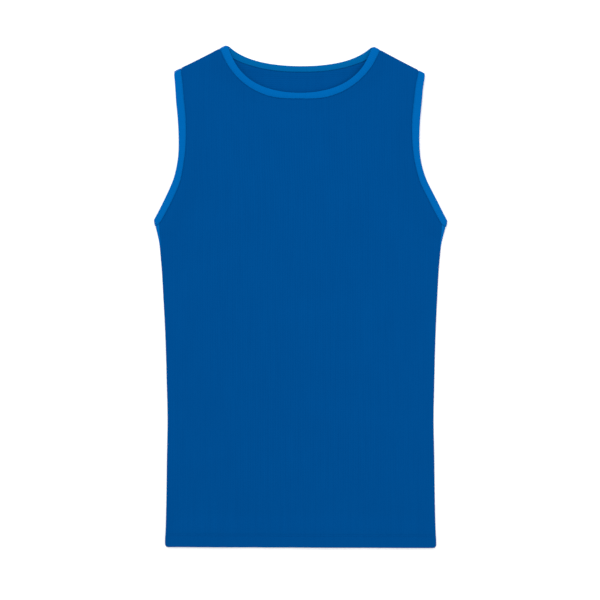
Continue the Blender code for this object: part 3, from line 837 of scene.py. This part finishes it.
def with_hem(middle, out, pattern):
    """Puts the turned-up hem below the first row: up the inside, then round the bottom edge."""
    turned_up = np.flatnonzero(pattern[:, 0, 1] < TOP - BODY_LENGTH + HEM_DEPTH)[:0:-1]
    edge, edge_out = middle[0], out[0]
    down = np.zeros_like(edge)
    down[:, 1] = -1.0
    middles = list(middle[turned_up] - PLY * out[turned_up])
    outs = list(-out[turned_up])
    places = list(pattern[turned_up] * (1, -1) + pattern[0] * (0, 2))
    for angle in np.linspace(math.pi, 0, HEM_TURN_STEPS + 1):
        turn = math.cos(angle) * edge_out + math.sin(angle) * down
        middles.append(edge - PLY / 2 * edge_out + PLY / 2 * turn)
        outs.append(turn)
        places.append(pattern[0])
    rows = ((middles, middle), (outs, out), (places, pattern))
    return [np.concatenate([np.array(added), grid[1:]]) for added, grid in rows]


def make_panel(name, which, materials, replaced):
    pattern = panel_pattern(which)
    middle, out, places = with_hem(fold_cloth(which, pattern), outward(which, pattern), pattern)
    panel = cloth_shell(name, middle, out, places, materials, replaced)
    cut = cells_area(pattern) + HEM_DEPTH * (pattern[0, :, 0].max() - pattern[0, :, 0].min())
    width = pattern[..., 0].max() - pattern[..., 0].min()
    length = pattern[..., 1].max() - pattern[..., 1].min() + HEM_DEPTH
    return panel, (width, length), cut


def cells_area(pattern):
    """Flat area of a grid of points."""
    first = pattern[1:, 1:] - pattern[:-1, :-1]
    second = pattern[1:, :-1] - pattern[:-1, 1:]
    return np.abs(first[..., 0] * second[..., 1] - first[..., 1] * second[..., 0]).sum() / 2


def make_gusset(name, side, materials, replaced):
    half = gusset_pattern()
    grids = []
    for values in (fold_cloth, outward):
        front, back = values("front", half), values("back", half)
        grids.append(np.concatenate([front[:, ::-1], back[:, 1:]], axis=1) * (side, 1.0, 1.0))
    middle, out = grids
    fold_x = half[:, :1, 0]
    across = np.concatenate([fold_x - half[:, ::-1, 0], half[:, 1:, 0] - fold_x], axis=1)
    up = np.concatenate([half[:, ::-1, 1], half[:, 1:, 1]], axis=1)
    places = np.stack([across, up], axis=-1)
    gusset = cloth_shell(name, middle, out, places, materials, replaced)
    cut = (across.max() - across.min(), up.max() - up.min())
    return gusset, cut, 2 * cells_area(half)


# ---- Bindings ----------------------------------------------------------------------------------


def binding_section(width):
    """The wrap's section: (inwards from the panel's edge, out from the middle of its cloth)."""
    end, radius = width - PLY, CLOTH / 2
    needle = end - BAND_STITCH_INSET
    groove = needle + BAND_GROOVE_HALF_WIDTH * np.array((1.5, 0.75, 0.0, -0.75, -1.5))
    rest = np.linspace(groove[-1], 0, BINDING_BEND_POINTS)[1:-1]
    limb = np.concatenate([[end - 1.5 * radius], groove, rest])
    depth = BAND_GROOVE_DEPTH * np.exp(-(((limb - needle) / BAND_GROOVE_HALF_WIDTH) ** 2))
    crown = BAND_CROWN * np.sin(math.pi * limb / end)
    free_edge = np.linspace(-math.pi / 2, math.pi / 2, BINDING_BEND_POINTS)
    wrap = np.linspace(0, math.pi / 2, BINDING_BEND_POINTS)
    upper = np.concatenate([
        np.column_stack([end - radius + radius * np.cos(free_edge),
                         BINDING_IN + radius + radius * np.sin(free_edge)]),
        np.column_stack([limb, BINDING_OUT + crown - depth]),
        np.column_stack([-PLY * np.sin(wrap), BINDING_OUT * np.cos(wrap)]),
    ])
    lower = upper[-2::-1] * (1, -1)
    inside = np.array(((-PLY_GAP, -BINDING_IN), (-PLY_GAP, BINDING_IN)))
    return np.concatenate([upper, lower, inside])


def into_cloth(line, sign):
    """The way into the cloth at each point of an edge line: square to it, on the side that sign gives."""
    direction = unit(np.gradient(line, axis=0))
    return sign * np.stack([direction[:, 1], -direction[:, 0]], axis=1)


def neck_ring():
    """Once round the neck: (front or back, its edge's points, their ways into the cloth).

    A way is longer where the band is wider.
    """
    parts = []
    for which in ("front", "back"):
        line = neck_stations(which)
        line[0] = NECK_LINES[which][0]
        inwards = into_cloth(line, -1.0)
        past_roll = np.linalg.norm(line - line[ROLL_STEPS], axis=1)
        weight = fade(past_roll, 0.0, NECK_WAY_TURNS_OVER)[:, None]
        inwards = unit((1 - weight) * inwards + weight * SHOULDER_ALONG)
        inwards[: ROLL_STEPS + 1] = SHOULDER_ALONG
        inwards[-1] = (0.0, -1.0)
        along = lengths_along(line)
        inwards *= through_rows(NECK_BAND_SHARES[which], along / along[-1])[:, None]
        edge, way = (
            np.concatenate([half, half[-2::-1] * MIRROR]) for half in (line, inwards)
        )
        # The front's part has both stations in the middle of the shoulders' folds.
        parts.append((which, edge, way) if which == "front" else (which, edge[-2:0:-1], way[-2:0:-1]))
    return parts


def armhole_ring():
    """Once round an armhole: down the front to the underarm, then up the back."""
    panel_part = armhole_stations()[::-1]
    panel_part[0] = ARMHOLE_LINE[0]
    gusset_part = gusset_pattern()[-1][::-1]
    line = np.concatenate([panel_part, gusset_part[1:]])
    inwards = into_cloth(line, 1.0)
    end_y = line[-1, 1]
    side_way = unit(np.array((side_half(end_y - SIDE_WAY_STEP) - side_half(end_y), -SIDE_WAY_STEP)))
    for end, way in ((line[0], -SHOULDER_ALONG), (line[-1], side_way)):
        weight = fade(np.linalg.norm(line - end, axis=1), 0.0, ARMHOLE_WAY_TURNS_OVER)[:, None]
        inwards = unit((1 - weight) * inwards + weight * way)
    inwards *= through_rows(ARMHOLE_BAND_SHARES, TOP - line[:, 1])[:, None]
    return [("front", line, inwards), ("back", line[-2:0:-1], inwards[-2:0:-1])]


def on_binding(ring, section, side):
    """Points of the binding: one row of the section's points for each station round the ring."""
    rows = []
    for which, edge, way in ring:
        pattern = edge[:, None] + section[None, :, :1] * way[:, None]
        middle, out = fold_cloth(which, pattern), outward(which, pattern)
        rows.append((middle + section[None, :, 1:] * out) * (side, 1.0, 1.0))
    return np.concatenate(rows)


def closed_lengths(points):
    """Length along a closed line at each of its points, and its whole length."""
    steps = np.linalg.norm(np.roll(points, -1, axis=0) - points, axis=1)
    return np.concatenate([[0], np.cumsum(steps)])


def make_binding(name, ring, width, side, materials, replaced):
    section = binding_section(width)
    points = on_binding(ring, section, side)
    stations, around = points.shape[:2]
    index = np.arange(stations * around).reshape(stations, around)
    quads = cells(np.pad(index, (0, 1), mode="wrap")).reshape(-1, 4)
    along = closed_lengths(points.mean(axis=1))
    across = closed_lengths(section)
    places = cells(np.stack(np.meshgrid(along, across, indexing="ij"), axis=-1)).reshape(-1, 4, 2)
    # The faces of the section's lower half, inside the shirt, take the darker copy of the binding's blues:
    # painted shade.
    lower = np.tile(section[:, 1] + np.roll(section[:, 1], -1) < 0, stations)
    binding = make_piece(
        name,
        points.reshape(-1, 3),
        quads,
        places,
        materials,
        replaced,
        np.flatnonzero(lower),
    )
    return binding, (across[-1] / 2, along[-1])


# ---- Stitching ---------------------------------------------------------------------------------


def stitch_row(name, line, out, material, closed=False):
    """A row of stitches along a line on the cloth. Each is a short thread whose ends dip into the cloth."""
    if closed:
        line, out = np.concatenate([line, line[:1]]), np.concatenate([out, out[:1]])
    along = lengths_along(line)
    count = round(along[-1] / STITCH_PITCH)
    middles = (np.arange(count) + 0.5) * along[-1] / count
    steps = np.array((-0.5, -0.42, -0.22, 0.0, 0.22, 0.42, 0.5)) * STITCH_LENGTH
    radii = np.array((0.35, 0.8, 1.0, 1.0, 1.0, 0.8, 0.35)) * THREAD_RADIUS
    dips = np.array((1.0, 0.6, 0.12, 0.0, 0.12, 0.6, 1.0)) * THREAD_RADIUS
    at = middles[:, None] + steps
    centre = np.stack([np.interp(at, along, line[:, k]) for k in range(3)], axis=-1)
    normal = unit(np.stack([np.interp(at, along, out[:, k]) for k in range(3)], axis=-1))
    direction = unit(centre[:, -1:] - centre[:, :1])
    sideways = unit(np.cross(direction, normal))
    centre = centre - dips[:, None] * normal
    sides = 6
    turn = np.arange(sides) * 2 * math.pi / sides
    ring = (
        np.cos(turn)[:, None] * normal[:, :, None] + np.sin(turn)[:, None] * sideways[:, :, None]
    ) * radii[:, None, None]
    points = (centre[:, :, None] + ring).reshape(-1, 3)
    index = np.arange(len(points)).reshape(count, len(steps), sides)
    next_side = np.roll(index, -1, axis=2)
    walls = np.stack([index[:, :-1], next_side[:, :-1], next_side[:, 1:], index[:, 1:]], axis=-1)
    ends = np.concatenate([index[:, 0], index[:, -1, ::-1]])
    caps = np.concatenate([ends[:, (3, 2, 1, 0)], ends[:, (5, 4, 3, 0)]])
    quads = np.concatenate([walls.reshape(-1, 4), caps])
    around = 2 * math.pi * THREAD_RADIUS * (np.arange(sides + 1) / sides)
    u, v = np.broadcast_arrays(at[..., None], around)
    place = np.stack([u, v], axis=-1)
    wall_places = np.stack(
        [place[:, :-1, :-1], place[:, :-1, 1:], place[:, 1:, 1:], place[:, 1:, :-1]], axis=-2
    ).reshape(-1, 4, 2)
    end_places = np.repeat(np.concatenate([place[:, 0, 0], place[:, -1, 0]]), 4, axis=0).reshape(-1, 4, 2)
    places = np.concatenate([wall_places, end_places, end_places])
    return make_piece(name, points, quads, places, [material])


def hem_stitching(which, material):
    """The twin needle's two rows across the front's or the back's hem."""
    rows = []
    for number, height in enumerate(HEM_STITCH_ROWS, 1):
        y = TOP - BODY_LENGTH + height
        reach = side_fold_x(y)[0] - STITCH_PITCH
        x = np.linspace(-reach, reach, HEM_LINE_POINTS)
        pattern = np.column_stack([x, np.full(len(x), y)])
        out = outward(which, pattern)
        line = fold_cloth(which, pattern) + (CLOTH / 2 + THREAD_STANDS) * out
        name = f"hem_stitching_{which}_{number}"
        rows.append(stitch_row(name, line, out, material))
    return rows


def binding_stitching(name, ring, width, side, material):
    """One row on the outside of a binding and one on its inside, near its free edges."""
    needle = width - PLY - BAND_STITCH_INSET
    height = BINDING_OUT - BAND_GROOVE_DEPTH + THREAD_STANDS
    rows = []
    for face, sign in (("outside", 1.0), ("inside", -1.0)):
        section = np.array(((needle, sign * height), (needle, sign * (height + THREAD_RADIUS))))
        points = on_binding(ring, section, side)
        line, out = points[:, 0], unit(points[:, 1] - points[:, 0])
        rows.append(
            stitch_row(f"{name}_{face}", line, out, material, closed=True)
        )
    return rows


# ---- Materials ---------------------------------------------------------------------------------


def linear(hex_colour):
    values = [int(hex_colour[k : k + 2], 16) / 255 for k in (0, 2, 4)]
    return [v / 12.92 if v <= 0.04045 else ((v + 0.055) / 1.055) ** 2.4 for v in values] + [1.0]


def plug(tree, target, inputs):
    """Gives each socket of a node its value, or a link from another node or from one of its outputs."""
    for socket, value in inputs.items():
        if isinstance(value, bpy.types.Node):
            value = value.outputs[0]
        if isinstance(value, bpy.types.NodeSocket):
            tree.links.new(value, target.inputs[socket])
        else:
            target.inputs[socket].default_value = value


def node(tree, kind, inputs=None, **settings):
    """Adds a node with its settings and what goes into its sockets."""
    added = tree.nodes.new("ShaderNode" + kind)
    for name, value in settings.items():
        setattr(added, name, value)
    plug(tree, added, inputs or {})
    return added


def new_material(name):
    """An empty node material and its Principled shader."""
    material = bpy.data.materials.new(name)
    material.use_nodes = True
    return material, material.node_tree, material.node_tree.nodes["Principled BSDF"]


def jersey_face(tree, across, along):
    """Height of plain stitches seen from their face: columns of V shapes with a groove between columns."""
    leg = node(tree, "Math", {0: across, 1: 0.5}, operation="PINGPONG")
    lean = node(tree, "Math", {0: leg, 1: FACE_LEG_LEAN, 2: along}, operation="MULTIPLY_ADD")
    turn = node(tree, "Math", {0: lean, 1: 2 * math.pi}, operation="MULTIPLY")
    yarn = node(tree, "Math", {0: turn}, operation="COSINE")
    row = node(tree, "Math", {0: yarn, 1: FACE_YARN_RELIEF, 2: 0.5}, operation="MULTIPLY_ADD")
    column_turn = node(tree, "Math", {0: leg, 1: 2 * math.pi}, operation="MULTIPLY")
    column = node(tree, "Math", {0: column_turn}, operation="COSINE")
    return node(tree, "Math", {0: column, 1: -FACE_COLUMN_RELIEF, 2: row}, operation="MULTIPLY_ADD")


def jersey_reverse(tree, across, along):
    """Height of plain stitches seen from their back: rows of half loops that lie like fish scales."""
    loop_turn = node(tree, "Math", {0: across, 1: 2 * math.pi}, operation="MULTIPLY")
    loop = node(tree, "Math", {0: loop_turn}, operation="COSINE")
    bent = node(tree, "Math", {0: loop, 1: REVERSE_LOOP_BEND, 2: along}, operation="MULTIPLY_ADD")
    turn = node(tree, "Math", {0: bent, 1: 2 * math.pi}, operation="MULTIPLY")
    yarn = node(tree, "Math", {0: turn}, operation="COSINE")
    return node(tree, "Math", {0: yarn, 1: REVERSE_YARN_RELIEF, 2: 0.5}, operation="MULTIPLY_ADD")


def cotton_jersey(name, stitches, dark, light, sheen_tint, wale, course):
    """Combed cotton single jersey, knitted from dyed yarn: soft and matt, with a faint nap.

    The eye gets an even colour with next to no gloss, and a fine vertical grain from the wales. Real wales
    are about 0.8 mm wide, which is half a pixel here, so they are drawn coarser, at wale and course.
    """
    material, tree, shader = new_material(name)
    place = node(tree, "UVMap", uv_map=PATTERN_MAP)
    flat = node(tree, "SeparateXYZ", {0: place})
    across = node(tree, "Math", {0: flat.outputs[0], 1: 1 / wale}, operation="MULTIPLY")
    along = node(tree, "Math", {0: flat.outputs[1], 1: 1 / course}, operation="MULTIPLY")
    knit = stitches(tree, across, along)

    # Yarn is never quite even, which shows as faint streaks along the wales and as clouds.
    streak_place = node(tree, "VectorMath", {0: place, 1: (1 / STREAK_WIDTH, 1 / STREAK_LENGTH, 1)},
                        operation="MULTIPLY")
    streaks = node(tree, "TexNoise", {"Vector": streak_place, "Scale": 1.0, "Detail": 2.0})
    clouds = node(tree, "TexNoise", {"Vector": place, "Scale": 1 / CLOUD_SIZE, "Detail": 3.0})
    nap = node(tree, "TexNoise", {"Vector": place, "Scale": 1 / NAP_SIZE, "Detail": 2.0})

    # The knit's hollows are mixed towards the dark: painted shade.
    mixed = node(tree, "Math", {0: knit, 1: KNIT_PAINTED_SHADE, 2: DARKEST_SHADE}, operation="MULTIPLY_ADD")
    for noise, share in ((streaks, STREAK_SHADE), (clouds, CLOUD_SHADE), (nap, NAP_SHADE)):
        mixed = node(tree, "Math", {0: noise, 1: share, 2: mixed}, operation="MULTIPLY_ADD")
    colour = node(tree, "Mix", {0: mixed, 6: linear(dark), 7: linear(light)}, data_type="RGBA")
    rough = node(tree, "Math", {0: knit, 1: -0.10, 2: 0.90}, operation="MULTIPLY_ADD")
    fuzzy = node(tree, "Math", {0: nap, 1: NAP_RELIEF, 2: knit}, operation="MULTIPLY_ADD")
    # Cotton's IOR is close to the default. Its loose fibres scatter nearly all of the gloss away.
    plug(tree, shader, {
        "Base Color": colour.outputs[2],
        "Roughness": rough,
        "Normal": node(tree, "Bump", {"Height": fuzzy, "Strength": 0.5, "Distance": 0.00025}),
        "Specular IOR Level": 0.06,
        "Specular Tint": linear(sheen_tint),
        "Sheen Weight": 0.10,
        "Sheen Roughness": 0.45,
        "Sheen Tint": linear(sheen_tint),
    })
    return material


def polyester_thread(name, dark, light, sheen_tint):
    """Spun polyester sewing thread: two plies twisted together, a little shinier than the cloth."""
    material, tree, shader = new_material(name)
    place = node(tree, "UVMap", uv_map=PATTERN_MAP)
    flat = node(tree, "SeparateXYZ", {0: place})
    along = node(tree, "Math", {0: flat.outputs[0], 1: 1 / THREAD_TWIST}, operation="MULTIPLY")
    around = 1 / (math.pi * THREAD_RADIUS)  # two plies
    twist = node(tree, "Math", {0: flat.outputs[1], 1: around, 2: along}, operation="MULTIPLY_ADD")
    turn = node(tree, "Math", {0: twist, 1: 2 * math.pi}, operation="MULTIPLY")
    wave = node(tree, "Math", {0: turn}, operation="COSINE")
    ply = node(tree, "Math", {0: wave, 1: 0.5, 2: 0.5}, operation="MULTIPLY_ADD")
    # The grooves between the plies are mixed towards the dark: painted shade.
    colour = node(tree, "Mix", {0: ply, 6: linear(dark), 7: linear(light)}, data_type="RGBA")
    plug(tree, shader, {
        "Base Color": colour.outputs[2],
        "Normal": node(tree, "Bump", {"Height": ply, "Strength": 0.6, "Distance": 0.0001}),
        "Roughness": 0.55,
        "Specular IOR Level": 0.25,
        "Specular Tint": linear(sheen_tint),
    })
    return material


def painted_board(name, dark, light):
    """Matt white painted board, with the faint mottle of a roller and a faint glow."""
    material, tree, shader = new_material(name)
    place = node(tree, "TexCoord")
    mottle = node(tree, "TexNoise", {"Vector": place.outputs["Object"], "Scale": 40.0, "Detail": 3.0})
    colour = node(tree, "Mix", {0: mottle, 6: linear(dark), 7: linear(light)}, data_type="RGBA")
    plug(tree, shader, {
        "Base Color": colour.outputs[2],
        "Roughness": 0.9,
        "Specular IOR Level": 0.2,
        "Emission Color": linear("ffffff"),
        "Emission Strength": TABLE_GLOW,
    })
    return material


# ---- The table, the light and the camera ---------------------------------------------------------


def lay_table():
    half = TABLE_SIZE / 2
    mesh = bpy.data.meshes.new("table")
    corners = [(-half, -half), (half, -half), (half, half), (-half, half)]
    mesh.from_pydata([(x, y, TABLE_HEIGHT) for x, y in corners], [], [(0, 1, 2, 3)])
    mesh.materials.append(painted_board("matt_painted_board", *BOARD_WHITES))
    add_object("table", mesh)


def look_at(place, target):
    """The turn that points a lamp at place towards target."""
    return (Vector(target) - Vector(place)).to_track_quat("-Z", "Y").to_euler()


def light_studio():
    world = bpy.data.worlds.new("white_room")
    world.use_nodes = True
    background = world.node_tree.nodes["Background"]
    plug(world.node_tree, background, {"Color": linear("ffffff"), "Strength": ROOM_LIGHT})
    bpy.context.scene.world = world
    for name, place, target, size, watts in SOFTBOXES:
        lamp = bpy.data.lights.new(name, "AREA")
        lamp.shape, lamp.size, lamp.energy = "SQUARE", size, watts
        holder = add_object(name, lamp)
        holder.location, holder.rotation_euler = place, look_at(place, target)
        holder.visible_camera = False


def place_camera():
    """Straight above, with a long lens, so that the picture shows the photograph's frame."""
    camera = bpy.data.cameras.new("camera")
    camera.lens, camera.sensor_width = CAMERA_LENS, CAMERA_SENSOR
    holder = add_object("camera", camera)
    distance = PICTURE_WIDTH * CAMERA_LENS / CAMERA_SENSOR
    holder.location = (*PICTURE_CENTRE, PICTURE_HEIGHT_ABOVE_TABLE + distance)
    bpy.context.scene.camera = holder


# ---- The shirt ---------------------------------------------------------------------------------


def sew_shirt():
    body, inside, binding, binding_inside_painted_shade = (
        cotton_jersey(name, stitches, *blues, *stitch)
        for name, stitches, blues, stitch in (
            ("body_cotton_jersey", jersey_face, BODY_BLUES, BODY_STITCH),
            ("body_cotton_jersey_reverse", jersey_reverse, BODY_BLUES, BODY_STITCH),
            ("binding_cotton_jersey", jersey_face, BINDING_BLUES, BINDING_STITCH),
            ("binding_cotton_jersey_inside_painted_shade", jersey_face, BINDING_INSIDE_PAINTED_SHADE_BLUES, BINDING_STITCH),
        )
    )
    body_thread = polyester_thread("body_polyester_thread", *BODY_THREAD_BLUES)
    binding_thread = polyester_thread("binding_polyester_thread", *BINDING_THREAD_BLUES)

    for which in ("back", "front"):
        name = f"{which}_panel_cloth"
        panel, flat, area = make_panel(name, which, [body, inside], f"{which}_panel")
        stitching = hem_stitching(which, body_thread)

    rings = [("neck", neck_ring(), NECK_BAND_WIDTH, 1.0)]
    for side_name, side in (("left", 1.0), ("right", -1.0)):
        rings.append((f"armhole_{side_name}", armhole_ring(), ARMHOLE_BAND_WIDTH, side))
    for place, ring, width, side in rings:
        node_name = "neck_binding" if place == "neck" else place.replace("_", "_binding_")
        cloth, flat = make_binding(
            f"{node_name}_cloth", ring, width, side, [binding, binding_inside_painted_shade], node_name
        )
        stitching = binding_stitching(f"{place}_stitching", ring, width, side, binding_thread)

    for side_name, side in (("left", 1.0), ("right", -1.0)):
        name = f"underarm_gusset_{side_name}"
        gusset, flat, area = make_gusset(f"{name}_cloth", side, [binding, binding], name)


def main():
    bpy.context.scene.view_settings.view_transform = "Standard"
    sew_shirt()
    lay_table()
    light_studio()
    place_camera()


main()
